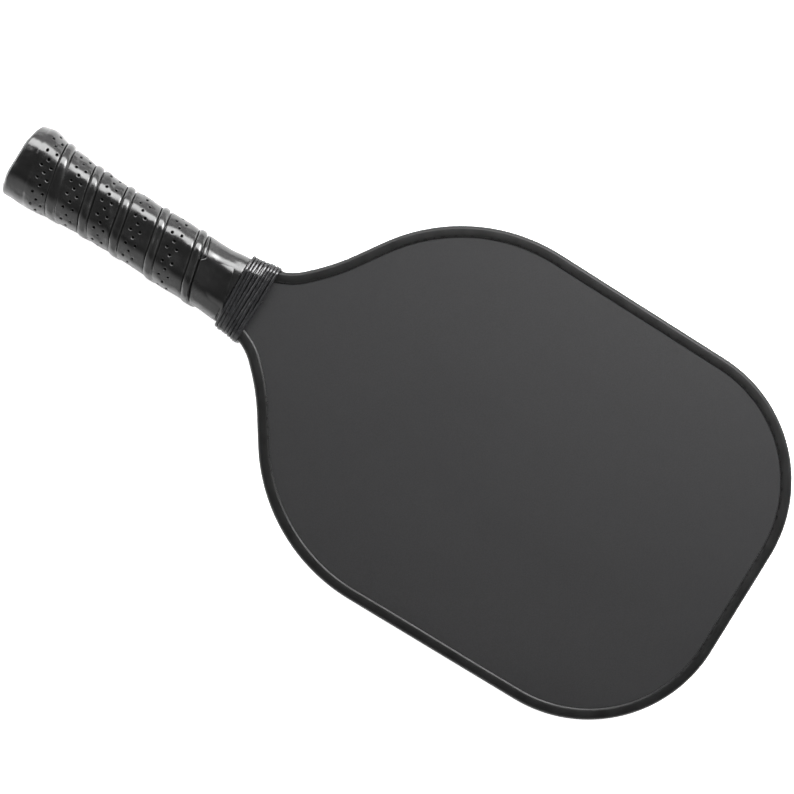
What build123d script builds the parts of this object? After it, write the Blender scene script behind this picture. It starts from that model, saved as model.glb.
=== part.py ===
"""Pickleball paddle: a flat sandwich head in an edge guard, on a wrapped handle.

Frame: millimetres. The origin is the middle of the butt's end face. +Y runs along the
handle to the tip of the head, +X is across the head, and +Z points out of the front
hitting face.
"""
from build123d import *
from math import cos, pi, sqrt
import os

os.makedirs("parts", exist_ok=True)

# ---- Outline of the head, measured on the edge guard ------------------------------
handle_length = 137.4      # butt end face to the neck, where the outline starts to open
head_length = 265.5        # neck to the tip
head_width = 193.8         # widest place, just past the shoulders
tip_narrowing = 2.4        # how much each side has come in where it meets the tip
tip_corner = 68.7          # radius of the two corners at the tip
neck_step = 5.5            # how much wider the outline is than the handle, each side
neck_radius = 28.0
neck_run = 28.0            # straight stretch of the outline below the neck
neck_slope = 0.157         # how fast the half width grows along that stretch
throat_rise = 16.4         # neck to the foot of the shoulder line
throat_step = 16.4         # how much the half width grows over that rise
throat_radius = 100.0
shoulder_rise = 41.0       # foot of the shoulder line to where it meets the side line
shoulder_radius = 89.0

# ---- Sandwich --------------------------------------------------------------------
core_thickness = 12.0
cell_size = 12.0           # honeycomb, across flats
cell_wall = 0.7
bond_thickness = 0.15
sheet_thickness = 0.6

# ---- Edge guard ------------------------------------------------------------------
guard_web = 1.5            # wall around the panel's edge
guard_tape = 0.2           # bonding tape between panel edge and guard
guard_lip = 5.2            # how far the guard reaches over each face
guard_lip_thickness = 1.0
guard_rounding = 2.6

# ---- Handle, without its wraps ---------------------------------------------------
handle_half_width = 14.0
handle_half_depth = 12.75
handle_flat = 8.0          # half width of the flat on the front and the back
handle_corner = 5.0
side_facet_rise = 0.15     # the side facet ends this far above the pallet's foot
tang_margin = 1.0          # the panel's tang is this much narrower, each side
pallet_ramp = 31.8         # length over which the pallets taper towards the head
pallet_tip = 1.26          # their thickness where they end
pallet_end_below_neck = 4.7

# ---- Butt cap --------------------------------------------------------------------
cap_floor = 4.0
cap_skirt_end = 36.5
cap_flare = 2.8            # how much the cap stands out from the bare handle
cap_flare_start = 8.5
cap_skirt_wall = 0.35      # thinnest place, at the skirt's end
cap_clearance = 0.1
cap_rounding = 1.0
wrap_run_off = 4.0         # length over which the wraps come down off the skirt's end
badge_radius = 10.0
badge_recess = 1.2
badge_thickness = 0.9
badge_clearance = 0.2
staple_gauge = 0.7
staple_width = 9.0
staple_leg = 5.0
staple_place = 22.0        # from the butt's end face
staple_sink = 0.25         # how deep its crown lies in the cap's skin

# ---- Wraps -----------------------------------------------------------------------
backing_thickness = 0.15   # adhesive film under the grip
grip_thickness = 1.75
grip_start = 1.2           # the grip's lower edge, from the butt's end face
grip_rounding = 1.5
sleeve_length = 21.4       # smooth sleeve between the grip and the winding
sleeve_wall = 1.35
winding_below_neck = 4.2   # the winding's upper edge, below the neck
winding_length = 15.2
winding_wall = 1.5
winding_bevel = 1.5        # run of the winding's bevel for each unit of its rise
wrap_corner = 1.2
wrap_gap = 0.15            # between the throat's wraps and what they lie on

# ---- Worked out from these -------------------------------------------------------
paddle_length = handle_length + head_length
film_bottom = core_thickness / 2
sheet_bottom = film_bottom + bond_thickness
panel_half = sheet_bottom + sheet_thickness
guard_half = panel_half + guard_lip_thickness
panel_inset = guard_web + guard_tape
pallet_foot = panel_half + bond_thickness
side_facet = pallet_foot + side_facet_rise
pallet_end = handle_length - pallet_end_below_neck
pallet_ramp_start = pallet_end - pallet_ramp
pallet_slope = (handle_half_depth - pallet_foot - pallet_tip) / pallet_ramp
winding_end = handle_length - winding_below_neck
winding_start = winding_end - winding_length
sleeve_end = winding_start - wrap_gap
grip_end = sleeve_end - sleeve_length


def across(y):
    """The plane square to the paddle at y, with X to the right and Z up."""
    return Plane.XZ.offset(-y)


def outline(inset):
    """The head's outline, set in by inset from the guard's outer edge."""
    neck_width = handle_half_width + neck_step
    throat = handle_length + throat_rise
    side = head_width / 2
    with BuildSketch() as plan:
        with BuildLine():
            half = FilletPolyline(
                (neck_width - neck_slope * neck_run, handle_length - neck_run),
                (neck_width, handle_length),
                (neck_width + throat_step, throat),
                (side, throat + shoulder_rise),
                (side - tip_narrowing, paddle_length),
                (0, paddle_length),
                radius=[neck_radius, throat_radius, shoulder_radius, tip_corner],
            )
            Line((0, handle_length - neck_run), half @ 0)
            mirror(about=Plane.YZ)
        make_face()
        if inset:
            offset(amount=-inset, kind=Kind.INTERSECTION)
    return plan.sketch


def half_width_at(y, inset):
    """Half the width of the inset outline at a place y in the throat."""
    with BuildSketch() as foot:
        add(outline(inset))
        Rectangle(head_width, y, align=(Align.CENTER, Align.MIN), mode=Mode.INTERSECT)
    return foot.sketch.bounding_box().max.X


def slab(plan, bottom, top):
    """A flat layer of the given outline between two heights."""
    with BuildPart() as layer:
        with BuildSketch(Plane.XY.offset(bottom)):
            add(plan)
        extrude(amount=top - bottom)
    return layer.part


def handle_section(y, half_width, half_depth, flat, side, corner, grow=0.0):
    """A rounded octagon across the handle at y, grown outwards by grow."""
    with BuildSketch(across(y)) as section:
        with BuildLine():
            Polyline(
                (flat, half_depth),
                (half_width, side),
                (half_width, -side),
                (flat, -half_depth),
                (-flat, -half_depth),
                (-half_width, -side),
                (-half_width, side),
                (-flat, half_depth),
                close=True,
            )
        make_face()
        fillet(section.vertices(), corner)
        if grow:
            offset(amount=grow)
    return section.sketch


def bare_section(y, grow=0.0):
    """The bare handle's section at y, grown outwards by grow."""
    return handle_section(
        y, handle_half_width, handle_half_depth, handle_flat, side_facet, handle_corner, grow
    )


def pallet_top(y):
    """Height of the pallet's outer face at y."""
    return handle_half_depth - pallet_slope * max(0.0, y - pallet_ramp_start)


def pallet_flat(height):
    """Half width of the pallet at a height on its sloping facet."""
    share = (handle_half_depth - height) / (handle_half_depth - side_facet)
    return handle_flat + share * (handle_half_width - handle_flat)


def flare(y):
    """How far the butt cap's skirt stands out from its bore at y."""
    share = max(0.0, (y - cap_flare_start) / (cap_skirt_end - cap_flare_start))
    return cap_skirt_wall + (cap_flare - cap_skirt_wall) * (1 + cos(pi * share)) / 2


def wrap_lift(y):
    """How far the grip's backing stands off the bare handle at y."""
    if y <= cap_skirt_end:
        return cap_clearance + flare(y)
    share = min(1.0, (y - cap_skirt_end) / wrap_run_off)
    return (cap_clearance + cap_skirt_wall) * (1 - share)


def stations(start, end):
    """Places along the handle from start to end, close together on the cap's flare."""
    steps = 5
    reach = cap_skirt_end - cap_flare_start
    middle = [cap_flare_start + reach * i / steps for i in range(steps + 1)]
    middle.append(cap_skirt_end + wrap_run_off)
    return [start] + [y for y in middle if start < y < end] + [end]


def lofted(sections):
    """A solid with straight sides from each section to the next."""
    with BuildPart() as body:
        for section in sections:
            add(section)
        loft(ruled=True)
    return body.part


def wrapped_solid(start, end, grow):
    """The handle's shape from start to end, standing off by the wraps' lift and by grow."""
    return lofted([bare_section(y, wrap_lift(y) + grow) for y in stations(start, end)])


def throat_section(y, half_width, side, bevel, grow=0.0):
    """A section over the tapering pallets at y, as wide as half_width."""
    depth = pallet_top(y) + wrap_gap
    flat = half_width - (depth - side) * bevel
    return handle_section(y, half_width, depth, flat, side, wrap_corner, grow)


# ---- Sandwich panel: honeycomb core, bonding films, carbon sheets -----------------
with BuildSketch() as panel_plan:
    add(outline(panel_inset))
    with Locations((0, cap_floor)):
        Rectangle(
            2 * (handle_half_width - tang_margin),
            handle_length - cap_floor,
            align=(Align.CENTER, Align.MIN),
        )
panel_face = panel_plan.sketch.faces()[0]
panel_edge = panel_face.outer_wire()

row_step = cell_size * sqrt(3) / 2
cell_reach = cell_size / sqrt(3) + cell_wall
columns = int(head_width / cell_size)
cells = []
for row in range(int(paddle_length / row_step)):
    for column in range(-columns, columns + 1):
        place = Vector((column + row % 2 / 2) * cell_size, cap_floor + row * row_step)
        if panel_face.is_inside(place) and panel_edge.distance_to(place) > cell_reach:
            cells.append(place)
print("honeycomb cells:", len(cells))

with BuildPart() as core_panel:
    with BuildSketch(Plane.XY.offset(-film_bottom)):
        add(panel_plan.sketch)
        with Locations(*cells):
            RegularPolygon(
                (cell_size - cell_wall) / 2, 6, major_radius=False, rotation=30, mode=Mode.SUBTRACT
            )
    extrude(amount=core_thickness)
core_panel.part.label = "core_panel"
export_step(core_panel.part, "parts/core_panel.step")

for name, bottom, top in [
    ("front_bond_film", film_bottom, sheet_bottom),
    ("back_bond_film", -sheet_bottom, -film_bottom),
    ("front_face_sheet", sheet_bottom, panel_half),
    ("back_face_sheet", -panel_half, -sheet_bottom),
]:
    face_layer = slab(panel_plan.sketch, bottom, top)
    face_layer.label = name
    export_step(face_layer, f"parts/{name}.step")

# ---- Edge guard and its bonding tape ---------------------------------------------
with BuildPart() as edge_guard:
    with BuildSketch(Plane.XY.offset(-guard_half)):
        add(outline(0))
    extrude(amount=2 * guard_half)
    rims = edge_guard.edges().group_by(Axis.Z)
    fillet(rims[0] + rims[-1], guard_rounding)
    add(slab(outline(guard_web), -panel_half, panel_half), mode=Mode.SUBTRACT)
    with BuildSketch(Plane.XY.offset(-guard_half)):
        add(outline(guard_lip))
        Rectangle(
            2 * (handle_half_width + wrap_gap),
            pallet_end + wrap_gap,
            align=(Align.CENTER, Align.MIN),
        )
    extrude(amount=2 * guard_half, mode=Mode.SUBTRACT)
    with BuildSketch(Plane.XY.offset(-guard_half)):
        Rectangle(head_width, winding_start, align=(Align.CENTER, Align.MIN))
    extrude(amount=2 * guard_half, mode=Mode.SUBTRACT)
edge_guard.part.label = "edge_guard"
export_step(edge_guard.part, "parts/edge_guard.step")

with BuildPart() as edge_guard_tape:
    with BuildSketch(Plane.XY.offset(-panel_half)):
        add(outline(guard_web))
        add(outline(panel_inset), mode=Mode.SUBTRACT)
        Rectangle(
            head_width, winding_start, align=(Align.CENTER, Align.MIN), mode=Mode.SUBTRACT
        )
    extrude(amount=2 * panel_half)
edge_guard_tape.part.label = "edge_guard_tape"
export_step(edge_guard_tape.part, "parts/edge_guard_tape.step")

# ---- Staples that hold the butt cap to the pallets --------------------------------
staple_seat = handle_half_depth + wrap_lift(staple_place) - staple_sink
with BuildPart() as front_staple:
    with BuildSketch(across(staple_place)):
        with Locations((0, staple_seat)):
            Rectangle(staple_width, staple_leg, align=(Align.CENTER, Align.MAX))
        with Locations((0, staple_seat - staple_gauge)):
            Rectangle(
                staple_width - 2 * staple_gauge,
                staple_leg,
                align=(Align.CENTER, Align.MAX),
                mode=Mode.SUBTRACT,
            )
    extrude(amount=staple_gauge / 2, both=True)
with BuildPart() as butt_cap_staples:
    add(front_staple.part)
    mirror(about=Plane.XY)
butt_cap_staples.part.label = "butt_cap_staples"
export_step(butt_cap_staples.part, "parts/butt_cap_staples.step")

# ---- Handle pallets and the adhesive that holds them to the panel ------------------
with BuildPart() as front_handle_pallet:
    extrude(bare_section(cap_floor), amount=pallet_end - cap_floor, dir=(0, 1, 0))
    split(bisect_by=Plane.XY.offset(pallet_foot), keep=Keep.TOP)
    with BuildSketch(Plane.YZ):
        with BuildLine():
            Polyline(
                (pallet_ramp_start, handle_half_depth),
                (pallet_end, pallet_top(pallet_end)),
                (pallet_end, handle_half_depth),
                close=True,
            )
        make_face()
    extrude(amount=handle_half_width, both=True, mode=Mode.SUBTRACT)
    add(butt_cap_staples.part, mode=Mode.SUBTRACT)
front_handle_pallet.part.label = "front_handle_pallet"
export_step(front_handle_pallet.part, "parts/front_handle_pallet.step")

back_handle_pallet = mirror(front_handle_pallet.part, about=Plane.XY)
back_handle_pallet.label = "back_handle_pallet"
export_step(back_handle_pallet, "parts/back_handle_pallet.step")

with BuildPart() as front_pallet_bond:
    with BuildSketch(Plane.XY.offset(panel_half)):
        with Locations((0, cap_floor)):
            Rectangle(
                2 * (handle_half_width - tang_margin),
                pallet_end - cap_floor,
                align=(Align.CENTER, Align.MIN),
            )
    extrude(amount=bond_thickness)
front_pallet_bond.part.label = "front_pallet_bond"
export_step(front_pallet_bond.part, "parts/front_pallet_bond.step")

back_pallet_bond = mirror(front_pallet_bond.part, about=Plane.XY)
back_pallet_bond.label = "back_pallet_bond"
export_step(back_pallet_bond, "parts/back_pallet_bond.step")

# ---- Butt cap and the blank badge in its end ---------------------------------------
with BuildPart() as butt_cap:
    add(wrapped_solid(0, cap_skirt_end, 0))
    fillet(butt_cap.faces().sort_by(Axis.Y)[0].edges(), cap_rounding)
    extrude(
        bare_section(cap_floor, cap_clearance),
        amount=cap_skirt_end,
        dir=(0, 1, 0),
        mode=Mode.SUBTRACT,
    )
    with BuildSketch(across(0)):
        Circle(badge_radius)
    extrude(amount=-badge_recess, mode=Mode.SUBTRACT)
    add(butt_cap_staples.part, mode=Mode.SUBTRACT)
    with Locations((0, staple_place, staple_seat), (0, staple_place, -staple_seat)):
        Box(staple_width, staple_gauge, 4 * staple_sink, mode=Mode.SUBTRACT)
butt_cap.part.label = "butt_cap"
export_step(butt_cap.part, "parts/butt_cap.step")

with BuildPart() as butt_badge:
    with BuildSketch(across(badge_recess)):
        Circle(badge_radius - badge_clearance)
    extrude(amount=badge_thickness)
    fillet(butt_badge.edges().sort_by(Axis.Y)[0], badge_thickness / 3)
butt_badge.part.label = "butt_badge"
export_step(butt_badge.part, "parts/butt_badge.step")

# ---- Grip: adhesive backing and the spiral strip as one sleeve ---------------------
with BuildPart() as grip_backing_tape:
    add(wrapped_solid(grip_start, grip_end, backing_thickness))
    add(wrapped_solid(grip_start, grip_end, 0), mode=Mode.SUBTRACT)
grip_backing_tape.part.label = "grip_backing_tape"
export_step(grip_backing_tape.part, "parts/grip_backing_tape.step")

with BuildPart() as grip_tape:
    add(wrapped_solid(grip_start, grip_end, backing_thickness + grip_thickness))
    fillet(grip_tape.faces().sort_by(Axis.Y)[0].edges(), grip_rounding)
    add(wrapped_solid(grip_start, grip_end, backing_thickness), mode=Mode.SUBTRACT)
grip_tape.part.label = "grip_tape"
export_step(grip_tape.part, "parts/grip_tape.step")

# ---- Neck sleeve ------------------------------------------------------------------
sleeve_side = side_facet + wrap_gap
sleeve_half = max(half_width_at(sleeve_end, panel_inset), handle_half_width) + 3 * wrap_gap
sleeve_flat = pallet_flat(pallet_top(sleeve_end)) + 4 * wrap_gap
sleeve_bevel = (sleeve_half - sleeve_flat) / (pallet_top(sleeve_end) + wrap_gap - sleeve_side)


def sleeve_solid(grow):
    """The neck sleeve's bore, grown outwards by grow."""
    return lofted(
        [
            bare_section(grip_end, wrap_gap + grow),
            bare_section(pallet_ramp_start, wrap_gap + grow),
            throat_section(sleeve_end, sleeve_half, sleeve_side, sleeve_bevel, grow),
        ]
    )


with BuildPart() as neck_sleeve:
    add(sleeve_solid(sleeve_wall))
    add(sleeve_solid(0), mode=Mode.SUBTRACT)
    add(front_handle_pallet.part, mode=Mode.SUBTRACT)
    add(back_handle_pallet, mode=Mode.SUBTRACT)
neck_sleeve.part.label = "neck_sleeve"
export_step(neck_sleeve.part, "parts/neck_sleeve.step")

# ---- Throat winding: the bound cord as one ring over guard and pallets --------------
winding_side = guard_half - guard_rounding / 2 + wrap_gap


def winding_solid(grow):
    """The winding's bore, grown outwards by grow."""
    ends = []
    for y in (winding_start, winding_end):
        half_width = max(half_width_at(y, 0), handle_half_width) + wrap_gap
        ends.append(throat_section(y, half_width, winding_side, winding_bevel, grow))
    return lofted(ends)


with BuildPart() as throat_winding:
    add(winding_solid(winding_wall))
    add(winding_solid(0), mode=Mode.SUBTRACT)
    add(front_handle_pallet.part, mode=Mode.SUBTRACT)
    add(back_handle_pallet, mode=Mode.SUBTRACT)
throat_winding.part.label = "throat_winding"
export_step(throat_winding.part, "parts/throat_winding.step")
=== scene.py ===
# %% [markdown]
# # A pickleball paddle, finished piece by piece
#
# The paddle arrives as a fixed frame: panel, guard, handle and wraps, each in its right
# place and at its real size. These cells give it the skin a person sees and touches. The
# hitting faces keep their shape and get a gritty carbon finish. The edge guard, the spiral
# grip, the neck sleeve and the bound cord are made anew, because their looks live in small
# shapes such as ribs, holes, creases and turns.

import math

import bmesh
import bpy
import numpy as np
from mathutils import Matrix, Vector


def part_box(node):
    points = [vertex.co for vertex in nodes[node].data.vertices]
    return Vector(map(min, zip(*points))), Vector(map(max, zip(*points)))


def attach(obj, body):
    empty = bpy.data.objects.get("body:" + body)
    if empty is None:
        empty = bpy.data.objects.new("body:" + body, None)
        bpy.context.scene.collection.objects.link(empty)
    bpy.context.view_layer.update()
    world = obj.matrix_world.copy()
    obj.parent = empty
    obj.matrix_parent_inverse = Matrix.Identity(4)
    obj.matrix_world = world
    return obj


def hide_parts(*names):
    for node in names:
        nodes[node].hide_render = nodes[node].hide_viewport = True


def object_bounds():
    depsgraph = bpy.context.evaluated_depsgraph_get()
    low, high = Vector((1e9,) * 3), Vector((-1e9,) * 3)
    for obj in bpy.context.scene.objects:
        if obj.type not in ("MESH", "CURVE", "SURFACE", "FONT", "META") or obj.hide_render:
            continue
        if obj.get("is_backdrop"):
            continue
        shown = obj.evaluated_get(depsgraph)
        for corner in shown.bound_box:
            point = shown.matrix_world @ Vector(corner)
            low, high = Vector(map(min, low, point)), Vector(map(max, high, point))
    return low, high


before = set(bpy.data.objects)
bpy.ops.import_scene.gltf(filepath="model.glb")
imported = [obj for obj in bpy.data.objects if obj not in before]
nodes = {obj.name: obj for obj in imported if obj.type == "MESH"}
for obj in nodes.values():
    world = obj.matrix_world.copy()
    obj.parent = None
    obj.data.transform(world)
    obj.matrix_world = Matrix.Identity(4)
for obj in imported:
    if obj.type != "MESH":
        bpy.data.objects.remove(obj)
cad_box = [list(corner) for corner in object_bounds()]
mm = 0.001
print("nodes:", len(nodes), "box:", [[round(v, 4) for v in corner] for corner in cad_box])

# %% [markdown]
# ## Where the camera stands
#
# The paddle lies on its back and is seen from straight above. The camera's place could be
# typed in, but it is better tied to the paddle: a little past the middle of its length,
# less than a metre up. The camera is turned about its own line of sight, so that the handle
# points to the upper left. A long lens keeps the butt from looking bigger than the head.

# %% Camera
paddle_length = cad_box[1][1] - cad_box[0][1]
camera_height = 0.93
view_width = 0.3799
turn_down = math.radians(31.75)

camera_data = bpy.data.cameras.new("camera")
camera_data.sensor_width = 36.0
camera_data.lens = camera_data.sensor_width * camera_height / view_width
camera = bpy.data.objects.new("camera", camera_data)
bpy.context.scene.collection.objects.link(camera)
aim = (0.0024, 0.5262 * paddle_length)
right = (-math.sin(turn_down), math.cos(turn_down), 0)
up = (-math.cos(turn_down), -math.sin(turn_down), 0)
camera.matrix_world = Matrix(
    (
        (right[0], up[0], 0, aim[0]),
        (right[1], up[1], 0, aim[1]),
        (right[2], up[2], 1, camera_height),
        (0, 0, 0, 1),
    )
)
bpy.context.scene.camera = camera
print("lens:", round(camera_data.lens, 1), "mm")

# %% [markdown]
# ## Meshes from rows of points
#
# Most pieces here are grids: rows of points joined by four-sided faces. A grid gives even
# faces that follow the shape, which shade better than triangles from a boolean cut. This
# helper turns points and faces into an object, shades it smooth, and sends it riding on the
# paddle's one body.


# %% Helper: a mesh piece
def make_piece(name, points, faces, replaces=()):
    mesh = bpy.data.meshes.new(name)
    mesh.from_pydata([tuple(p) for p in points], [], [tuple(f) for f in faces])
    mesh.validate()
    shell = bmesh.new()
    shell.from_mesh(mesh)
    bmesh.ops.recalc_face_normals(shell, faces=shell.faces)
    shell.to_mesh(mesh)
    shell.free()
    mesh.shade_smooth()
    piece = bpy.data.objects.new(name, mesh)
    bpy.context.scene.collection.objects.link(piece)
    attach(piece, "root")
    if replaces:
        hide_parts(*replaces)
    print(name, "points:", len(points), "faces:", len(faces))
    return piece


def grid_faces(rows, columns, closed_columns=False, first=0):
    """Four-sided faces over rows of points, whose ends join up where columns are closed."""
    faces = []
    for r in range(rows - 1):
        for c in range(columns if closed_columns else columns - 1):
            a = r * columns + c
            b = r * columns + (c + 1) % columns
            above = (r + 1) * columns
            ring = (a, b, above + (c + 1) % columns, above + c)
            faces.append(tuple(first + corner for corner in ring))
    return faces


# %% [markdown]
# ## The head's outline
#
# The edge guard is a strip bent around the panel, so it needs the outline as a path. The
# outline is a few straight lines with rounded corners, which is how it would be drawn on a
# bench: mark the corners, then strike an arc of a known radius into each. The tip's place
# hangs on the paddle's own length; the half widths are given numbers.


# %% Rounded path
def rounded_path(corners, radii, step):
    """Points about step apart along straight lines with an arc struck into each corner."""
    corners = [np.array(c, float) for c in corners]
    points = [corners[0]]
    for before, corner, after, radius in zip(corners, corners[1:], corners[2:], radii):
        u = (before - corner) / np.linalg.norm(before - corner)
        v = (after - corner) / np.linalg.norm(after - corner)
        half = math.acos(np.clip(u @ v, -1, 1)) / 2
        centre = corner + (u + v) / np.linalg.norm(u + v) * radius / math.sin(half)
        start = corner + u * radius / math.tan(half)
        end = corner + v * radius / math.tan(half)
        a0 = math.atan2(*(start - centre)[::-1])
        sweep = (math.atan2(*(end - centre)[::-1]) - a0 + math.pi) % (2 * math.pi) - math.pi
        count = max(2, int(abs(sweep) * radius / step))
        straight = max(1, int(np.linalg.norm(start - points[-1]) / step))
        last = points[-1]
        points += [last + (start - last) * i / straight for i in range(1, straight + 1)]
        angles = [a0 + sweep * i / count for i in range(1, count + 1)]
        points += [centre + radius * np.array([math.cos(a), math.sin(a)]) for a in angles]
    last = points[-1]
    straight = max(1, int(np.linalg.norm(corners[-1] - last) / step))
    points += [last + (corners[-1] - last) * i / straight for i in range(1, straight + 1)]
    return np.array(points)


neck_y = 137.4
neck_half = 19.5
throat_rise = 16.4
head_half = 96.9
tip_half = 94.5
tip_y = paddle_length / mm
throat = (neck_half + throat_rise, neck_y + throat_rise)
winding_low, winding_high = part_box("throat_winding")
guard_start = winding_low.y / mm + 1.0
neck_slope = 0.157
half_outline = rounded_path(
    [
        (neck_half - neck_slope * (neck_y - guard_start), guard_start),
        (neck_half, neck_y),
        throat,
        (head_half, throat[1] + 41.0),
        (tip_half, tip_y),
        (0, tip_y),
    ],
    [28.0, 100.0, 89.0, 68.7],
    1.6,
)
outline = np.vstack([half_outline, (half_outline * (-1, 1))[-2::-1]])
print("outline points:", len(outline), "widest:", round(2 * outline[:, 0].max(), 1), "mm")

# %% [markdown]
# ## Materials: black plastics that are not the same black
#
# Nearly everything on this paddle is black, so the pieces are told apart by how they shine:
# the carbon face is matt with a fine grit, the guard is satin, the grip is tacky and glossy,
# the cord is waxed. Each material therefore gets its own roughness, its own bump and its own
# small changes of tone, all made from noise at a real scale in millimetres.


# %% Material builder
def start_material(name, colour, roughness, specular=0.5):
    material = bpy.data.materials.new(name)
    material.use_nodes = True
    tree = material.node_tree
    shader = tree.nodes["Principled BSDF"]
    shader.inputs["Base Color"].default_value = (*colour, 1)
    shader.inputs["Roughness"].default_value = roughness
    shader.inputs["Specular IOR Level"].default_value = specular
    return material, tree, shader


def noise(tree, size_mm, detail=2.0, roughness=0.5, stretch=(1, 1, 1)):
    """Noise whose features are about size_mm across, in the paddle's own space."""
    where = tree.nodes.new("ShaderNodeTexCoord")
    scaled = tree.nodes.new("ShaderNodeVectorMath")
    scaled.operation = "MULTIPLY"
    scaled.inputs[1].default_value = tuple(s * 1000.0 / size_mm for s in stretch)
    tree.links.new(where.outputs["Object"], scaled.inputs[0])
    texture = tree.nodes.new("ShaderNodeTexNoise")
    texture.inputs["Scale"].default_value = 1.0
    texture.inputs["Detail"].default_value = detail
    texture.inputs["Roughness"].default_value = roughness
    tree.links.new(scaled.outputs[0], texture.inputs["Vector"])
    return texture.outputs["Fac"]


def ramp(tree, value, low, high, from_low=0.3, from_high=0.7):
    """Stretches the middle of a noise value to run from low to high."""
    node = tree.nodes.new("ShaderNodeMapRange")
    node.inputs["From Min"].default_value = from_low
    node.inputs["From Max"].default_value = from_high
    node.inputs["To Min"].default_value = low
    node.inputs["To Max"].default_value = high
    tree.links.new(value, node.inputs["Value"])
    return node.outputs["Result"]


def tint(tree, value, dark, light):
    """Mixes two colours by a value from 0 to 1."""
    node = tree.nodes.new("ShaderNodeMix")
    node.data_type = "RGBA"
    node.inputs["A"].default_value = (*dark, 1)
    node.inputs["B"].default_value = (*light, 1)
    tree.links.new(value, node.inputs["Factor"])
    return node.outputs["Result"]


def bump(tree, height, depth_mm, below=None):
    """A bump of a real depth. It can be stacked on another bump."""
    node = tree.nodes.new("ShaderNodeBump")
    node.inputs["Strength"].default_value = 1.0
    node.inputs["Distance"].default_value = depth_mm * mm
    tree.links.new(height, node.inputs["Height"])
    if below is not None:
        tree.links.new(below, node.inputs["Normal"])
    return node.outputs["Normal"]


# %% [markdown]
# ## Raw carbon face
#
# The sheet is cured against a woven peel ply, which is then torn off. It leaves a matt,
# sandpaper-fine grit with a hint of the cloth's weave below it. The grit is noise a quarter
# of a millimetre across. The weave is one faint set of diagonal waves, so weak that it only
# breaks up the sheen. A few dull rub marks keep the wide face from looking printed.

# %% Carbon face material
carbon, tree, shader = start_material("carbon_face", (0.009, 0.009, 0.0094), 0.62, 0.15)
grit = noise(tree, 0.35, detail=3.0, roughness=0.7)
rub = noise(tree, 38.0, detail=3.0, stretch=(1.0, 0.35, 1.0))
fleck = ramp(tree, noise(tree, 0.6, detail=1.0), 0.0, 1.0, 0.35, 0.65)
flecked = tint(tree, fleck, (0.008, 0.008, 0.0083), (0.0102, 0.0102, 0.0106))
tree.links.new(flecked, shader.inputs["Base Color"])
tree.links.new(ramp(tree, rub, 0.54, 0.66), shader.inputs["Roughness"])
weave = tree.nodes.new("ShaderNodeTexWave")
weave.bands_direction = "DIAGONAL"
weave.inputs["Scale"].default_value = 160.0
weave.inputs["Distortion"].default_value = 0.4
place = tree.nodes.new("ShaderNodeTexCoord")
tree.links.new(place.outputs["Object"], weave.inputs["Vector"])
woven = bump(tree, weave.outputs["Fac"], 0.004)
tree.links.new(bump(tree, grit, 0.03, woven), shader.inputs["Normal"])
for name in ("front_face_sheet", "back_face_sheet"):
    nodes[name].data.materials.clear()
    nodes[name].data.materials.append(carbon)
print("carbon on both face sheets")

# %% [markdown]
# ## Edge guard
#
# The guard is a moulded channel pressed over the panel's edge. Its section is drawn once:
# flat against the face, a small round at the lip, a long soft shoulder and a nearly flat
# web. The section is then carried along the outline. Sweeping it point by point, rather
# than with a bevelled curve, keeps the lips exactly level with the face all the way round.

# %% Edge guard section
face_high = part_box("front_face_sheet")[1]
guard_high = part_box("edge_guard")[1]
face_top = face_high.z / mm
guard_top = guard_high.z / mm
lip_reach = 5.6
web = 1.5
shoulder_run = 1.9
shoulder_drop = 2.7
lip_round = 0.26

bevel_low = guard_top - 0.42
lip_side = [(lip_reach, face_top + 0.03), (lip_reach, bevel_low - lip_round)]
for i in range(1, 5):
    a = math.radians(67 * i / 4)
    reach = lip_reach - lip_round * (1 - math.cos(a))
    lip_side.append((reach, bevel_low - lip_round * (1 - math.sin(a))))
bevel_start = len(lip_side) - 1
lip_side.append((lip_reach - 0.6, guard_top - 0.22))
lip_side.append((lip_reach - 0.9, guard_top - 0.12))
lip_side.append((lip_reach - 1.4, guard_top - 0.05))
for i in range(9):
    a = math.radians(90 * i / 8)
    lip_side.append(
        (shoulder_run * (1 - math.sin(a)), guard_top - shoulder_drop * (1 - math.cos(a)))
    )
lip_side.append((-0.06, guard_top * 0.28))
lip_side.append((-0.08, 0.25))
lip_side.append((0.02, 0.0))
upper = lip_side[:-1]
inner = [(web, -face_top - 0.03), (web, face_top + 0.03)]
section = upper + [(0.02, 0.0)] + [(u, -z) for u, z in upper[::-1]] + inner
lower_bevel = len(section) - 3 - bevel_start
bevel_rows = (bevel_start, bevel_start + 1, lower_bevel, lower_bevel - 1)
print("guard section points:", len(section))

# %% [markdown]
# ## Carrying the section round
#
# On the bench the guard is a straight extrusion that is warmed and pulled round the panel.
# Here each point of the section is moved along the outline's inward direction. The lip is
# allowed to wander by a few hundredths of a millimetre, as a pressed-on strip does.


# %% Sweep the guard
def sideways(path):
    """Unit vectors that point out of a path's left side, for a path walked on the plane."""
    ahead = np.gradient(path, axis=0)
    ahead /= np.linalg.norm(ahead, axis=1)[:, None]
    return np.stack([-ahead[:, 1], ahead[:, 0]], 1)


inward = sideways(outline)
stations = np.arange(len(outline))
wander = 0.05 * np.sin(stations * 0.9 / 7.0) + 0.04 * np.sin(stations * 0.37 / 3.0)
guard_points = []
for (x, y), (nx, ny), w in zip(outline, inward, wander):
    for u, z in section:
        reach = u + (w if u > 4.0 else 0.0)
        guard_points.append(((x + nx * reach) * mm, (y + ny * reach) * mm, z * mm))
guard_faces = grid_faces(len(outline), len(section), closed_columns=True)
guard_faces.append(tuple(range(len(section)))[::-1])
guard_faces.append(tuple(range(len(guard_points) - len(section), len(guard_points))))
edge_guard = make_piece(
    "moulded_edge_guard", guard_points, guard_faces, ["edge_guard"]
)

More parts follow.
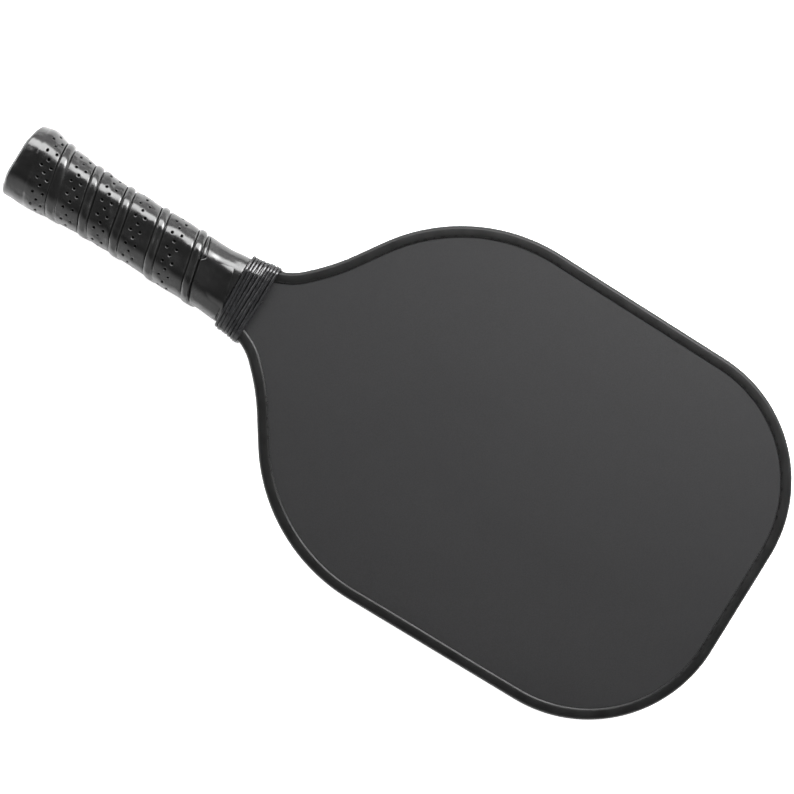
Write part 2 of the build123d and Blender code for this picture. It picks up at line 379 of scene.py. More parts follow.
# %% [markdown]
# ## The guard's satin and its bright lip
#
# Moulded plastic is satin all over, but hands and table tops rub the lip's edge. The narrow
# bevel there gets its own slightly glossier plastic. It draws a thin line of light between
# the guard and the face, and without it the two blacks would run together.

# %% Guard material
guard_black, tree, shader = start_material("guard_plastic", (0.004, 0.004, 0.004), 0.42, 0.15)
scuff = noise(tree, 9.0, detail=4.0, roughness=0.65)
tree.links.new(ramp(tree, scuff, 0.36, 0.48), shader.inputs["Roughness"])
tree.links.new(
    tint(tree, ramp(tree, scuff, 0, 1), (0.003, 0.003, 0.003), (0.0045, 0.0045, 0.0045)),
    shader.inputs["Base Color"],
)
moulded = bump(tree, noise(tree, 0.9, detail=3.0), 0.012)
tree.links.new(bump(tree, noise(tree, 14.0, detail=1.0), 0.05, moulded), shader.inputs["Normal"])
edge_guard.data.materials.append(guard_black)

lip_gloss, tree, shader = start_material("guard_lip_gloss", (0.006, 0.006, 0.006), 0.3, 0.11)
worn = noise(tree, 2.5, detail=3.0)
tree.links.new(ramp(tree, worn, 0.2, 0.4), shader.inputs["Roughness"])
tree.links.new(
    tint(tree, ramp(tree, worn, 0, 1), (0.004, 0.004, 0.004), (0.008, 0.008, 0.008)),
    shader.inputs["Base Color"],
)
tree.links.new(bump(tree, worn, 0.04), shader.inputs["Normal"])
edge_guard.data.materials.append(lip_gloss)
for polygon in edge_guard.data.polygons:
    middle = sum((edge_guard.data.vertices[i].co for i in polygon.vertices), Vector()) / 4
    on_bevel = bevel_low < abs(middle.z) / mm < guard_top - 0.15
    on_row = polygon.vertices[0] % len(section) in bevel_rows
    if on_bevel and on_row and polygon.normal.z ** 2 < 0.985:
        polygon.material_index = 1
print("glossy lip faces:", sum(p.material_index for p in edge_guard.data.polygons))

# %% [markdown]
# ## The handle's shape, as a surface to wrap on
#
# Everything on the handle is wound around it, so it helps to describe the handle once as a
# surface with two coordinates: how far round, as a share of one turn, and how far along.
# Each section is an octagon with rounded corners. Going outwards means moving along the
# section's own normals, which keeps every layer the same thickness, as real tape does.


# %% Octagon loops
def octagon_loop(half_width, half_depth, flat, side, corner, grow, count=720):
    """Points and normals round a rounded octagon, evenly spaced when grown by grow.
    It starts at the left side and goes over the front."""
    shape = [
        (-half_width, -side),
        (-half_width, side),
        (-flat, half_depth),
        (flat, half_depth),
        (half_width, side),
        (half_width, -side),
        (flat, -half_depth),
        (-flat, -half_depth),
    ]
    shape = [np.array(p, float) for p in shape]
    fine, normals = [], []
    for i in range(1, 9):
        before, here, after = shape[i - 1], shape[i % 8], shape[(i + 1) % 8]
        u = (here - before) / np.linalg.norm(here - before)
        v = (after - here) / np.linalg.norm(after - here)
        turn = math.acos(np.clip(u @ v, -1, 1))
        n0, n1 = np.array([-u[1], u[0]]), np.array([-v[1], v[0]])
        start = here - u * corner * math.tan(turn / 2)
        centre = start - n0 * corner
        for k in range(25):
            share = k / 24
            n = n0 * math.sin((1 - share) * turn) + n1 * math.sin(share * turn)
            n = n / np.linalg.norm(n)
            fine.append(centre + n * corner)
            normals.append(n)
    fine, normals = np.array(fine), np.array(normals)
    fine = np.vstack([fine, fine[:1]])
    normals = np.vstack([normals, normals[:1]])
    outer = fine + normals * grow
    length = np.concatenate([[0], np.cumsum(np.linalg.norm(np.diff(outer, axis=0), axis=1))])
    total = length[-1]
    wanted = np.arange(count) / count * total
    points = np.stack([np.interp(wanted, length, fine[:, k]) for k in (0, 1)], 1)
    sides = np.stack([np.interp(wanted, length, normals[:, k]) for k in (0, 1)], 1)
    sides /= np.linalg.norm(sides, axis=1)[:, None]
    left = np.argmin(np.abs(points[:, 1]) + 1e3 * (points[:, 0] > 0))
    points, sides = np.roll(points, -left, 0), np.roll(sides, -left, 0)
    return points, sides, total


def on_loop(loop, turn):
    """Points and normals of a loop at shares of a turn."""
    points, sides, _ = loop
    count = len(points)
    at = (np.asarray(turn, float) % 1.0) * count
    low = np.floor(at).astype(int) % count
    high = (low + 1) % count
    part = (at - np.floor(at))[:, None]
    p = points[low] * (1 - part) + points[high] * part
    n = sides[low] * (1 - part) + sides[high] * part
    return p, n / np.linalg.norm(n, axis=1)[:, None]


handle_half_width = 14.0
handle_half_depth = 12.75
grip_stand_off = 1.9
handle_loop = octagon_loop(handle_half_width, handle_half_depth, 8.0, 7.05, 6.8, grip_stand_off)
print("once round the grip:", round(handle_loop[2], 1), "mm")

# %% [markdown]
# ## How far each layer stands off
#
# The butt cap flares out under the grip, so the wraps stand further off near the butt. The
# flare is one half of a cosine, which starts and ends without a corner.

# %% Flare of the butt
def smooth(value, low, high):
    """Rises softly from 0 at low to 1 at high."""
    share = np.clip((value - low) / (high - low), 0, 1)
    return share * share * (3 - 2 * share)


cap_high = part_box("butt_cap")[1]
skirt_end = cap_high.y / mm
flare_start = 8.5
skirt_wall = 0.35
cap_clearance = 0.1
backing = 0.15
cap_flare = cap_high.x / mm - handle_half_width - cap_clearance
print("cap flare:", round(cap_flare, 2), "skirt ends at", round(skirt_end, 1))


def swell(turn, y):
    """Small unevenness of the wrapped handle: a bulge at the butt, a fuller right side."""
    left = (0.5 + 0.5 * np.cos(2 * np.pi * turn)) ** 3
    right = (0.5 - 0.5 * np.cos(2 * np.pi * turn)) ** 3
    bulge = 1.5 * left * np.exp(-(((y - 7.0) / 5.0) ** 2))
    full = 0.9 * right * smooth(y, 66.0, 90.0) + 0.45 * left * smooth(y, 50.0, 90.0)
    return bulge + full


def wrap_lift(y):
    """How far the grip's underside stands off the bare handle at y."""
    y = np.asarray(y, float)
    share = np.clip((y - flare_start) / (skirt_end - flare_start), 0, 1)
    lift = cap_clearance + skirt_wall + (cap_flare - skirt_wall) * (1 + np.cos(np.pi * share)) / 2
    run_off = np.clip((y - skirt_end) / 8.0, 0, 1)
    return lift * (1 - run_off) + backing


def on_handle(turn, y, height):
    """Points in metres at a share of a turn, a place along, and a height above the backing."""
    p, n = on_loop(handle_loop, turn)
    out = wrap_lift(y) + height + swell(turn, y)
    return np.stack([p[:, 0] + n[:, 0] * out, y, p[:, 1] + n[:, 1] * out], 1) * mm


# %% [markdown]
# ## The spiral grip as a real strip
#
# The grip is a long, soft polyurethane strip with a raised rib along one edge and three
# staggered rows of vent holes. It is wound from the butt to the neck. A texture could fake
# the holes, but a close look would show it. So the strip is built flat first, in its own
# two measures, along and across, and each point is then laid on the handle's surface. The
# winding pitch opens slowly towards the neck, because the hand that winds it pulls the
# strip tighter on the flare.

# %% Strip measures
rib_width = 4.7
rib_height = 0.8
strip_thickness = 1.75
hole_radius = 0.68
hole_row = 2.4
patch_length = 3.45
holes_centre = rib_width / 2 + 8.6
first_turn = -1.3
rib_begins = -0.3
last_turn = 4.66
grip_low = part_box("grip_tape")[0]
butt_edge = grip_low.y / mm - 0.4


def rib_line(turn):
    """Where the middle of the rib lies along the handle at each turn."""
    slack = 0.5 + 0.8 * (1 - smooth(turn, 1.5, 2.4))
    return 17.3 + 16.0 * turn + 0.64 * turn**2 + slack * (1 - np.cos(2 * np.pi * turn))


def pitch_at(turn):
    return 16.0 + 1.28 * turn


def edge_line(turn):
    """The strip's butt-side edge at each turn."""
    return rib_line(turn) - rib_width / 2 * 1.02


turns = [first_turn]
sub = 4
while turns[-1] < last_turn:
    stand_off = float(wrap_lift(max(butt_edge, edge_line(turns[-1]))))
    around = handle_loop[2] + 2 * math.pi * stand_off * 0.8
    turns.append(turns[-1] + patch_length / sub / math.hypot(around, pitch_at(turns[-1])))
patches = (len(turns) - 1) // sub
turns = np.array(turns[: patches * sub + 1])
print("strip patches:", patches, "length:", round(patches * patch_length), "mm")

# %% [markdown]
# ## From flat strip to handle
#
# A point on the flat strip is a distance along it and a distance across it. The winding
# angle turns those two into a share of a turn and a place along the handle. The profile
# across the strip gives the height: a round rib with a crease on each side, then a slightly
# pillowed band that dips again where the next turn begins.


# %% Strip mapping
def visible_width(turn):
    """How much of the strip shows before the next turn covers it."""
    angle = np.arctan(pitch_at(turn) / handle_loop[2])
    return (edge_line(turn + 1) - edge_line(turn)) * np.cos(angle) - 0.1


def profile(turn, across, width):
    """Height of the strip's outer face over its nominal thickness."""
    rib_on = smooth(turn, rib_begins - 0.05, rib_begins + 0.08)
    rib_on = rib_on * (1 - 0.75 * np.exp(-(((turn - 0.30) / 0.10) ** 2)))
    place = np.clip((across - rib_width / 2) / (rib_width / 2), -1, 1)
    rib = -0.55 + (rib_height + 0.55) * np.sqrt(1 - place**2)
    place_in_band = np.clip((across - rib_width) / (width - rib_width), 0, 1)
    pillow = 0.34 * np.sin(np.pi * place_in_band**0.7)
    crease = -0.95 * (1 - smooth(across, rib_width + 0.22, rib_width + 0.42))
    lip = -0.55 * smooth(across, width - 0.6, width)
    ribbed = np.where(across < rib_width, rib, pillow + crease) + lip
    plain = pillow + lip
    wave = 0.06 * np.sin(turn * 23.0 + across * 0.4) + 0.05 * np.sin(turn * 41.0 - across * 0.7)
    fold = across - rib_width - 1.5 - 30.0 * (turn - 1.03)
    wave = wave + 0.35 * np.exp(-((fold / 1.5) ** 2)) * smooth(across, rib_width, rib_width + 2.0)
    return plain * (1 - rib_on) + ribbed * rib_on + wave


def tail_line(turn_share):
    """Where the neck sleeve's lower edge lies, at each share of a turn."""
    share = np.asarray(turn_share, float) % 1.0
    front = edge_line(4.0 + share) + rib_width * 1.02 - 0.35
    sliver = (0.8 + 1.6 * smooth(share, 0.0, 0.18)) * (1 - smooth(share, 0.19, 0.215))
    under_start = edge_line(4.58) + rib_width * 1.02 - 0.35
    under_end = edge_line(4.0) + rib_width * 1.02 - 0.35 + 0.8
    under = under_start + (under_end - under_start) * smooth(share, 0.58, 1.0)
    return np.where(share < 0.58, front + sliver, under)


def lay_strip(turn, across, outer=True, sink=0.0):
    """Lays points of the flat strip on the handle."""
    turn = np.asarray(turn, float)
    across = np.asarray(across, float)
    angle = np.arctan(pitch_at(turn) / handle_loop[2])
    share = turn - across * np.sin(angle) / handle_loop[2]
    along = edge_line(turn) + across * np.cos(angle)
    width = visible_width(turn)
    height = strip_thickness + profile(turn, across, width) - sink
    drop = np.clip((butt_edge + 1.4 - along) / 1.4, 0, 1)
    height = height - 1.1 * (1 - np.sqrt(1 - drop**2))
    tail = tail_line(share)
    tucked = np.where(turn > 3.4, smooth(along, tail - 0.12, tail + 0.08), 0)
    height = height * (1 - tucked) + 0.35 * tucked
    if not outer:
        height = np.full_like(height, 0.02) * np.ones_like(along)
    return on_handle(share, np.maximum(along, butt_edge), height)


# %% [markdown]
# ## Where the rows of points go
#
# A strip needs close rows only where its height changes fast: over the rib, in the crease,
# round the holes, and where the last turn dives under the neck sleeve. Elsewhere a few rows
# are enough. Every column has the same number of rows, so the grid stays a grid.


# %% Rows across the strip
def row_places(turn):
    """Distances across the strip of every row of points, for one column."""
    angle = math.atan(pitch_at(turn) / handle_loop[2])
    start = 0.0
    if turn < rib_begins:
        start = min((butt_edge - edge_line(turn)) / math.cos(angle), rib_width - 0.6)
    rib_rows = [start + (rib_width - start) * i / 12 for i in range(13)]
    low = [4.78, 4.92, 5.05, 5.14]
    share = turn - 6.0 * math.sin(angle) / handle_loop[2]
    tail = (float(tail_line(share)) - edge_line(turn)) / math.cos(angle)
    if turn > 3.7 and 5.3 < tail < 7.05:
        low += [max(5.18, tail - 0.5), tail - 0.1, tail + 0.05, tail + 0.12]
    else:
        low += [5.6, 6.1, 6.6, 7.0]
    low.append(holes_centre - 1.5 * hole_row)
    holes = [low[-1] + hole_row / sub * i for i in range(1, 3 * sub + 1)]
    width = visible_width(turn)
    high = [holes[-1] + (width - holes[-1]) * f for f in (0.3, 0.55, 0.75, 0.88, 0.96, 1.0)]
    return rib_rows + low + holes + high


columns = np.array([row_places(t) for t in turns])
column_count, row_count = columns.shape
hole_first_row = row_places(first_turn).index(holes_centre - 1.5 * hole_row)
holes_from, holes_to = -1.12, 3.6


def has_hole(patch, band):
    """Whether a patch of one of the three bands is cut: the rows are staggered."""
    staggered = (patch % 2 == 0) == (band != 1)
    return staggered and holes_from < turns[patch * sub] < holes_to


print("columns:", column_count, "rows:", row_count)

# %% [markdown]
# ## Cutting the vent holes
#
# Where a hole goes, the small square patch of the grid is left out and refilled with rings:
# one out at the patch's edge, one for the softly rounded rim, then the wall down through the
# strip. The rings have as many points as the patch has around its border, so every face
# stays four-sided and the hole is round.

# %% Build the strip
border = (
    [(i, 0) for i in range(sub)]
    + [(sub, i) for i in range(sub)]
    + [(sub - i, sub) for i in range(sub)]
    + [(0, sub - i) for i in range(sub)]
)
rings = [(1.02, 0.0), (0.80, 0.02), (0.71, 0.1), (hole_radius, 0.3)]
column_turn = np.repeat(turns[:, None], row_count, 1)
outer_points = lay_strip(column_turn.ravel(), columns.ravel())
inner_points = lay_strip(column_turn.ravel(), columns.ravel(), outer=False)
strip_points = list(map(tuple, outer_points)) + list(map(tuple, inner_points))
layer = len(outer_points)
strip_faces = []
holes = 0
turn_per_mm = np.gradient(turns) / (patch_length / sub)
for p in range(patches):
    for r in range(row_count - 1):
        band = (r - hole_first_row) // sub
        in_holes = 0 <= r - hole_first_row < 3 * sub
        if in_holes and has_hole(p, band):
            continue
        for c in range(p * sub, (p + 1) * sub):
            a, b = c * row_count + r, (c + 1) * row_count + r
            strip_faces.append((a, b, b + 1, a + 1))
            strip_faces.append((layer + a, layer + a + 1, layer + b + 1, layer + b))
    for band in range(3):
        if not has_hole(p, band):
            continue
        holes += 1
        corner_row = hole_first_row + band * sub
        edge = [(p * sub + i) * row_count + corner_row + j for i, j in border]
        middle = p * sub + sub // 2
        centre = columns[middle, corner_row + sub // 2]
        angles = [
            math.atan2((j - sub / 2) * hole_row, (i - sub / 2) * patch_length) for i, j in border
        ]
        previous = edge
        for radius, sink in rings:
            first = len(strip_points)
            ring_turn = turns[middle] + radius * np.cos(angles) * turn_per_mm[middle]
            ring_across = centre + radius * np.sin(angles)
            strip_points += list(map(tuple, lay_strip(ring_turn, ring_across, sink=sink)))
            here = list(range(first, first + len(border)))
            for k in range(len(border)):
                n = (k + 1) % len(border)
                strip_faces.append((previous[k], previous[n], here[n], here[k]))
            previous = here
        first = len(strip_points)
        strip_points += list(map(tuple, lay_strip(ring_turn, ring_across, outer=False)))
        bottom = list(range(first, first + len(border)))
        for k in range(len(border)):
            n = (k + 1) % len(border)
            strip_faces.append((previous[k], previous[n], bottom[n], bottom[k]))
            strip_faces.append((bottom[k], bottom[n], layer + edge[n], layer + edge[k]))
for c in range(column_count - 1):
    a, b = c * row_count, (c + 1) * row_count
    strip_faces.append((a, layer + a, layer + b, b))
    top_a, top_b = a + row_count - 1, b + row_count - 1
    strip_faces.append((top_a, top_b, layer + top_b, layer + top_a))
for r in range(row_count - 1):
    end = (column_count - 1) * row_count + r
    strip_faces.append((r, r + 1, layer + r + 1, layer + r))
    strip_faces.append((end, layer + end, layer + end + 1, end + 1))
strip = make_piece(
    "spiral_grip_strip", strip_points, strip_faces, ["grip_tape"]
)
print("vent holes:", holes)

# %% [markdown]
# ## Neck sleeve
#
# Above the last rib a smooth rubber sleeve covers the grip's cut end and runs to the cord.
# It follows the handle where the handle is straight and then blends into the wider, thinner
# section at the throat. Its lower edge lies along the last turn of the rib, so it starts
# at a different place all the way round.

# %% Sections at the throat
pallet_ramp_start = 100.9


def widest(node, y, reach=0.6):
    """Half width and half depth of a CAD node near a place along the handle."""
    near = [v.co for v in nodes[node].data.vertices if abs(v.co.y / mm - y) < reach]
    return max(v.x for v in near) / mm, max(v.z for v in near) / mm


cord_wall = 1.5
throat_loops = []
for y in (winding_low.y / mm, winding_high.y / mm):
    half_width, half_depth = widest("throat_winding", y)
    half_width, half_depth = half_width - cord_wall, half_depth - cord_wall
    side = guard_top - 1.15
    flat = half_width - (half_depth - side) * 1.5
    throat_loops.append(octagon_loop(half_width, half_depth, flat, side, 1.4, 0.85))
    print("throat at", round(y, 1), "half size", round(half_width, 2), round(half_depth, 2))
sleeve_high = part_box("neck_sleeve")[1]
sleeve_end_width, sleeve_end_depth = widest("neck_sleeve", sleeve_high.y / mm)
sleeve_wall = 1.35
sleeve_loop = octagon_loop(
    sleeve_end_width - sleeve_wall, sleeve_end_depth - sleeve_wall, 8.6, 7.0, 6.5, sleeve_wall
)


def neck_point(turn, y, height):
    """Points in metres on the neck, which blends from the handle to the throat."""
    p0, n0 = on_loop(handle_loop, turn)
    p1, n1 = on_loop(sleeve_loop, turn)
    ramp_length = sleeve_high.y / mm - pallet_ramp_start
    share = np.clip((y - pallet_ramp_start) / ramp_length, 0, 1.15)
    share = (share * smooth(y, pallet_ramp_start - 1.0, pallet_ramp_start + 5.0))[:, None]
    p = (p0 + n0 * (0.15 + swell(turn, y)[:, None])) * (1 - share) + p1 * share
    n = n0 * (1 - share) + n1 * share
    return np.stack([p[:, 0] + n[:, 0] * height, y, p[:, 1] + n[:, 1] * height], 1) * mm


# %% [markdown]
# ## Pulling the sleeve on
#
# The sleeve is a soft tube, pulled over the handle and down to the throat. Its rings start at
# the grip's last rib and end under the cord. It thins where the handle narrows, swells again
# where the cord pushes it up, and keeps a few slow ripples from being stretched.

# %% Build the neck sleeve
around = 240
along = 44
shares = np.arange(around) / around
starts = tail_line(shares) + 0.4
sleeve_top = winding_low.y / mm + 0.9
rows = []
for r in range(along):
    f = r / (along - 1)
    y = starts + (sleeve_top - starts) * f
    edge_round = -0.6 * np.exp(-(((y - starts) / 0.3) ** 2))
    settle = 1.72 - 0.30 * smooth(y, 98.0, 108.0) + 0.7 * smooth(y, 106.0, 120.0)
    ripple = 0.04 * np.sin(y * 0.5 + shares * 2 * np.pi * 2) * smooth(y, 98, 108)
    ripple += 0.03 * np.sin(y * 0.9 - shares * 2 * np.pi * 4) * smooth(y, 104, 114)
    dent = -0.08 * np.exp(-(((y - 107.0) / 6.0) ** 2)) * (0.5 + 0.5 * np.cos(2 * np.pi * shares))
    height = settle + edge_round + ripple + dent
    rows.append((shares, y, height))
outer = np.vstack([neck_point(*row) for row in rows])
inner = np.vstack([neck_point(s, y, np.full(around, 0.3)) for s, y, _ in rows])
sleeve_points = np.vstack([outer, inner])
sleeve_faces = grid_faces(along, around, closed_columns=True)
sleeve_faces = [f[::-1] for f in sleeve_faces]
sleeve_faces += grid_faces(along, around, closed_columns=True, first=len(outer))
for c in range(around):
    n = (c + 1) % around
    last = (along - 1) * around
    sleeve_faces.append((c, n, len(outer) + n, len(outer) + c))
    sleeve_faces.append((last + n, last + c, len(outer) + last + c, len(outer) + last + n))
sleeve = make_piece(
    "smooth_neck_sleeve", sleeve_points, sleeve_faces, ["neck_sleeve"]
)

# %% [markdown]
# ## Bound cord at the throat
#
# A waxed cord is bound round the throat to hide where guard, panel and handle meet. It is
# one long cord laid turn against turn, pulled tight by hand, so the turns wander and fan a
# little. The cord is made of twisted strands: its round section is given three shallow
# lobes that rotate along its length.

# %% Build the winding
cord_radius = 0.77
cord_turns = (-0.22, 8.72)
steps_per_turn = 190
lobe_pitch = 5.0
section_points = 14
steps = int((cord_turns[1] - cord_turns[0]) * steps_per_turn)
m = np.linspace(*cord_turns, steps)
share = (m - cord_turns[0]) / (cord_turns[1] - cord_turns[0])
cord_low = winding_low.y / mm + cord_radius
cord_high = winding_high.y / mm - cord_radius
tilt = 0.7 + 0.7 * share + np.cos(2 * np.pi * m) * (0.6 * share - 0.5 * (1 - share))
wandering = 0.20 * np.sin(m * 5.1) + 0.15 * np.sin(m * 13.7 + 1.0)
wandering += 0.12 * np.sin(m * 21.3 + 2.0)
cord_y = cord_low + (cord_high - cord_low) * share + tilt + wandering * (0.3 + share)
blend_share = (cord_y - winding_low.y / mm) / (winding_high.y / mm - winding_low.y / mm)
p0, n0 = on_loop(throat_loops[0], m)
p1, n1 = on_loop(throat_loops[1], m)
normal = n0 * (1 - blend_share)[:, None] + n1 * blend_share[:, None]
normal /= np.linalg.norm(normal, axis=1)[:, None]
ends_tuck = sum(1.5 * np.exp(-(((m - end) / 0.035) ** 2)) for end in cord_turns)
ride_up = 0.18 * np.sin(m * 9.3) + 0.14 * np.sin(m * 17.9) + 0.12
lift = cord_radius * 0.95 + 0.75 * (1 - share) + ride_up - ends_tuck
centre = p0 * (1 - blend_share)[:, None] + p1 * blend_share[:, None] + normal * lift[:, None]
centre = np.stack([centre[:, 0], cord_y, centre[:, 1]], 1)
ahead = np.gradient(centre, axis=0)
step_length = np.linalg.norm(ahead, axis=1)
ahead /= step_length[:, None]
out = np.stack([normal[:, 0], np.zeros(steps), normal[:, 1]], 1)
beside = np.cross(ahead, out)
beside /= np.linalg.norm(beside, axis=1)[:, None]
travelled = np.cumsum(step_length)
cord_points = []
for k in range(section_points):
    a = 2 * math.pi * k / section_points
    lobes = 1 + 0.04 * np.cos(3 * a + 2 * np.pi * travelled / lobe_pitch)
    r = cord_radius * lobes
    raised = out * (r * math.cos(a) * 0.92)[:, None]
    cord_points.append(centre + raised + beside * (r * math.sin(a))[:, None])
cord_points = np.stack(cord_points, 1).reshape(-1, 3) * mm
cord_faces = grid_faces(steps, section_points, closed_columns=True)
cord_faces.append(tuple(range(section_points))[::-1])
cord_faces.append(tuple(range(len(cord_points) - section_points, len(cord_points))))
tape_around, tape_along = 180, 12
tape_turns = np.arange(tape_around) / tape_around
tape_rows = []
for lift_off in (0.3, 0.06):
    for y in np.linspace(winding_low.y / mm - 0.5, winding_high.y / mm + 0.2, tape_along):
        part = (y - winding_low.y / mm) / (winding_high.y / mm - winding_low.y / mm)
        q0, k0 = on_loop(throat_loops[0], tape_turns)
        q1, k1 = on_loop(throat_loops[1], tape_turns)
        q = q0 * (1 - part) + q1 * part + (k0 * (1 - part) + k1 * part) * lift_off
        tape_rows.append(np.stack([q[:, 0], np.full(tape_around, y), q[:, 1]], 1) * mm)
first = len(cord_points)
tape_faces = grid_faces(tape_along, tape_around, closed_columns=True, first=first)
inner_first = first + tape_along * tape_around
tape_faces += grid_faces(tape_along, tape_around, closed_columns=True, first=inner_first)
for end in (0, (tape_along - 1) * tape_around):
    for c in range(tape_around):
        n = (c + 1) % tape_around
        outer_c, outer_n = first + end + c, first + end + n
        tape_faces.append((outer_c, outer_n, inner_first + end + n, inner_first + end + c))
cord_points = np.vstack([cord_points] + tape_rows)
cord_faces += tape_faces
winding = make_piece(
    "bound_throat_cord", cord_points, cord_faces, ["throat_winding"]
)
print("cord length:", round(travelled[-1]), "mm")

# %% [markdown]
# ## Grip, sleeve and cord finishes
#
# Polyurethane grips are tacky and shiny, with a skin that is smooth but never flat: the
# shine breaks into soft patches. The crease beside the rib and the holes go dark by
# themselves, because they are real. The sleeve is smoother still. The cord is waxed thread,
# so it shines in thin lines along each turn, broken up by its fibres.

# %% Grip material
grip_black, tree, shader = start_material("grip_polyurethane", (0.0035, 0.0035, 0.0035), 0.22, 0.5)
soft = noise(tree, 7.0, detail=3.0)
tree.links.new(ramp(tree, soft, 0.18, 0.27), shader.inputs["Roughness"])
patchy = ramp(tree, noise(tree, 16.0), 0, 1)
blacks = tint(tree, patchy, (0.003, 0.003, 0.003), (0.0042, 0.0042, 0.0042))
tree.links.new(blacks, shader.inputs["Base Color"])
skin = bump(tree, noise(tree, 0.8, detail=3.0, roughness=0.6), 0.01)
lumps = bump(tree, noise(tree, 8.0, detail=2.0), 0.35, skin)
tree.links.new(bump(tree, noise(tree, 3.0, detail=1.0), 0.05, lumps), shader.inputs["Normal"])
strip.data.materials.append(grip_black)

# %% Sleeve material
sleeve_black, tree, shader = start_material("sleeve_rubber", (0.0035, 0.0035, 0.0035), 0.2, 0.5)
tree.links.new(ramp(tree, noise(tree, 12.0, detail=3.0), 0.2, 0.3), shader.inputs["Roughness"])
skin = bump(tree, noise(tree, 0.7, detail=2.0), 0.006)
tree.links.new(bump(tree, noise(tree, 8.0, detail=2.5), 0.32, skin), shader.inputs["Normal"])
sleeve.data.materials.append(sleeve_black)

# %% Cord material
cord_black, tree, shader = start_material("winding_cord", (0.006, 0.006, 0.0065), 0.34, 0.5)
fibre = noise(tree, 0.35, detail=3.0, roughness=0.7, stretch=(0.25, 1.6, 0.25))
tree.links.new(ramp(tree, fibre, 0.16, 0.3), shader.inputs["Roughness"])
fibres = tint(tree, ramp(tree, fibre, 0, 1), (0.004, 0.004, 0.004), (0.010, 0.010, 0.011))
tree.links.new(fibres, shader.inputs["Base Color"])
tree.links.new(bump(tree, fibre, 0.012), shader.inputs["Normal"])
winding.data.materials.append(cord_black)

# %% [markdown]
# ## Butt cap, badge and the pieces inside
#
# The cap's end and its blank badge are right as they come, so they only need their
# plastics. The pieces inside are sealed away, but a sectioned or exploded view shows them,
# so each gets an honest material too: milky honeycomb, amber glue, dark handle foam.


# %% Cap and inner materials
def finish_nodes(names, name, dark, light, size_mm, rough, depth_mm, metallic=0.0):
    material, tree, shader = start_material(name, dark, rough[0])
    shader.inputs["Metallic"].default_value = metallic
    grain = noise(tree, size_mm, detail=3.0)
    tree.links.new(tint(tree, ramp(tree, grain, 0, 1), dark, light), shader.inputs["Base Color"])
    tree.links.new(ramp(tree, noise(tree, size_mm * 6), *rough), shader.inputs["Roughness"])
    tree.links.new(bump(tree, grain, depth_mm), shader.inputs["Normal"])
    for node in names:
        nodes[node].data.materials.clear()
        nodes[node].data.materials.append(material)
    print(name, "on", ", ".join(names))


finish_nodes(
    ["butt_cap"],
    "cap_plastic", (0.005, 0.005, 0.005), (0.008, 0.008, 0.008), 0.7, (0.35, 0.5), 0.02,
)
finish_nodes(
    ["butt_badge"],
    "badge_plastic", (0.008, 0.008, 0.0085), (0.011, 0.011, 0.0115), 1.5, (0.16, 0.28), 0.006,
)
finish_nodes(
    ["butt_cap_staples"],
    "staple_steel", (0.5, 0.5, 0.51), (0.62, 0.62, 0.62), 0.4, (0.25, 0.4), 0.01, 1.0,
)
finish_nodes(
    ["grip_backing_tape"],
    "grip_adhesive", (0.01, 0.01, 0.01), (0.02, 0.02, 0.02), 0.8, (0.5, 0.7), 0.02,
)
finish_nodes(
    ["core_panel"],
    "core_plastic", (0.62, 0.65, 0.66), (0.75, 0.77, 0.77), 3.0, (0.3, 0.45), 0.03,
)
finish_nodes(
    ["front_bond_film", "back_bond_film"],
    "bond_film", (0.36, 0.3, 0.2), (0.5, 0.44, 0.32), 5.0, (0.25, 0.4), 0.02,
)
finish_nodes(
    ["front_pallet_bond", "back_pallet_bond"],
    "pallet_glue", (0.02, 0.02, 0.02), (0.03, 0.03, 0.03), 5.0, (0.25, 0.4), 0.02,
)
finish_nodes(
    ["edge_guard_tape"],
    "bond_tape", (0.5, 0.48, 0.42), (0.62, 0.6, 0.54), 2.0, (0.5, 0.7), 0.02,
)
finish_nodes(
    ["front_handle_pallet", "back_handle_pallet"],
    "pallet_foam", (0.03, 0.03, 0.031), (0.05, 0.05, 0.052), 0.6, (0.75, 0.9), 0.08,
)

# %% [markdown]
# ## The wound strip's surface
#
# A strip wound on a handle is still a flat strip, cut to a width and a length. Half the
# modelled strip's surface is printed here as a measure of its material.

mesh_area = sum(polygon.area for polygon in strip.data.polygons)
print("half the strip's surface:", round(mesh_area / 2 * 1e6), "mm2")

# %% [markdown]
# ## Floor and light
#
# The paddle lies on its back on a pale table. Its thick butt lifts one end, so the table is
# tilted by that small angle to touch both the butt and the tip, and the paddle itself never
# moves. The light is a long soft box beside the handle, low enough to draw one bright band
# along it, with a bright room all round and a darker ceiling. That dark ceiling is what
# makes the top of a glossy black handle read as black.

# %% Floor
strip_places = np.array([v.co for v in strip.data.vertices])
guard_places = np.array([v.co for v in edge_guard.data.vertices])
butt_points = strip_places[strip_places[:, 1] < 0.06]
tip_points = guard_places[guard_places[:, 1] > 0.35]
tilt_angle = 0.0
for _ in range(4):
    slope = math.tan(tilt_angle)
    butt_low = butt_points[np.argmin(butt_points[:, 2] - butt_points[:, 1] * slope)]
    tip_low = tip_points[np.argmin(tip_points[:, 2] - tip_points[:, 1] * slope)]
    tilt_angle = math.atan2(tip_low[2] - butt_low[2], tip_low[1] - butt_low[1])
half_floor = 6.0
slope = math.tan(tilt_angle)
base = butt_low[2] - slope * butt_low[1] - 0.0001
floor_points = [
    (x * half_floor, y * half_floor, base + slope * y * half_floor)
    for x, y in ((-1, -1), (1, -1), (1, 1), (-1, 1))
]
floor_mesh = bpy.data.meshes.new("table")
floor_mesh.from_pydata(floor_points, [], [(0, 1, 2, 3)])
floor = bpy.data.objects.new("table", floor_mesh)
bpy.context.scene.collection.objects.link(floor)
table_white, tree, shader = start_material("table_white", (0.86, 0.86, 0.86), 0.8, 0.1)
shader.inputs["Emission Color"].default_value = (1, 1, 1, 1)
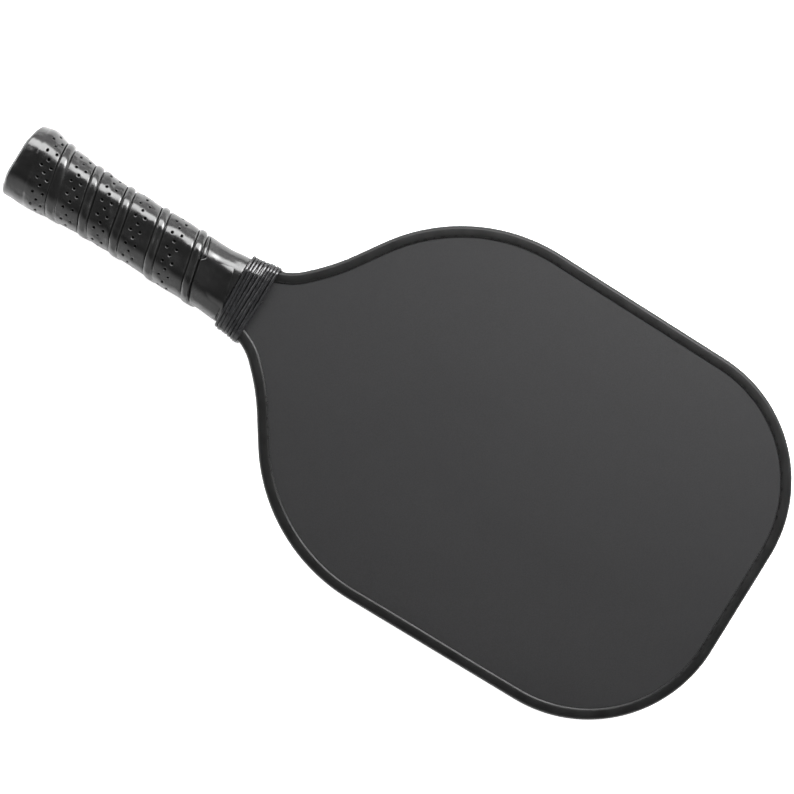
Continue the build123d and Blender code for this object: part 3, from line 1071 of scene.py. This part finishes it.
shader.inputs["Emission Strength"].default_value = 0.85
floor_mesh.materials.append(table_white)
floor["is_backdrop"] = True
print("table tilt:", round(math.degrees(tilt_angle), 2), "degrees")


# %% [markdown]
# ## Lamps and room
#
# Black gloss shows only what it mirrors. The long box draws the band along the handle, the
# small fill lifts the left of the face, and the narrow strip beyond the butt puts a thin line
# on each turn of cord. The room is bright at its walls and dark overhead.


# %% Lights
def soft_box(name, place, target, size, power):
    data = bpy.data.lights.new(name, "AREA")
    data.shape = "RECTANGLE"
    data.size, data.size_y = size
    data.energy = power
    light = bpy.data.objects.new(name, data)
    bpy.context.scene.collection.objects.link(light)
    light.location = place
    direction = Matrix.Translation(target).translation - Matrix.Translation(place).translation
    light.rotation_euler = direction.to_track_quat("-Z", "Y").to_euler()
    return light


soft_box("long_box", (-0.64, -0.04, 0.66), (0.0, 0.08, 0.0), (1.5, 0.54), 36.0)
soft_box("near_fill", (-0.42, 0.38, 0.42), (0.0, 0.27, 0.0), (0.35, 0.25), 5.0)
soft_box("cord_strip", (-0.15, -0.70, 0.80), (0.0, 0.12, 0.0), (0.12, 0.6), 1.7)

world = bpy.data.worlds.new("bright_room")
bpy.context.scene.world = world
world.use_nodes = True
tree = world.node_tree
backdrop = tree.nodes["Background"]
where = tree.nodes.new("ShaderNodeTexCoord")
flat_way = tree.nodes.new("ShaderNodeVectorMath")
flat_way.operation = "MULTIPLY"
flat_way.inputs[1].default_value = (1.0, 0.62, 0.0)
tree.links.new(where.outputs["Generated"], flat_way.inputs[0])
away = tree.nodes.new("ShaderNodeVectorMath")
away.operation = "LENGTH"
tree.links.new(flat_way.outputs["Vector"], away.inputs[0])
overhead = tree.nodes.new("ShaderNodeMapRange")
overhead.interpolation_type = "SMOOTHSTEP"
overhead.inputs["From Min"].default_value = 0.38
overhead.inputs["From Max"].default_value = 0.92
overhead.inputs["To Min"].default_value = 0.06
overhead.inputs["To Max"].default_value = 1.55
tree.links.new(away.outputs["Value"], overhead.inputs["Value"])
tree.links.new(overhead.outputs["Result"], backdrop.inputs["Strength"])
backdrop.inputs["Color"].default_value = (1, 1, 1, 1)
bpy.context.scene.view_settings.view_transform = "Standard"
print("lights placed")

# %% [markdown]
# ## The size of the finished pieces
#
# The finished pieces must fill the same box as the frame. The two boxes are written side by
# side, so a piece that has grown shows up at once.

# %% Sizes and finish
visual_box = [list(corner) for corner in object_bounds()]
for k, axis in enumerate("xyz"):
    cad_side = cad_box[1][k] - cad_box[0][k]
    visual_side = visual_box[1][k] - visual_box[0][k]
    print(axis, "frame", round(cad_side * 1000, 1), "finished", round(visual_side * 1000, 1), "mm")
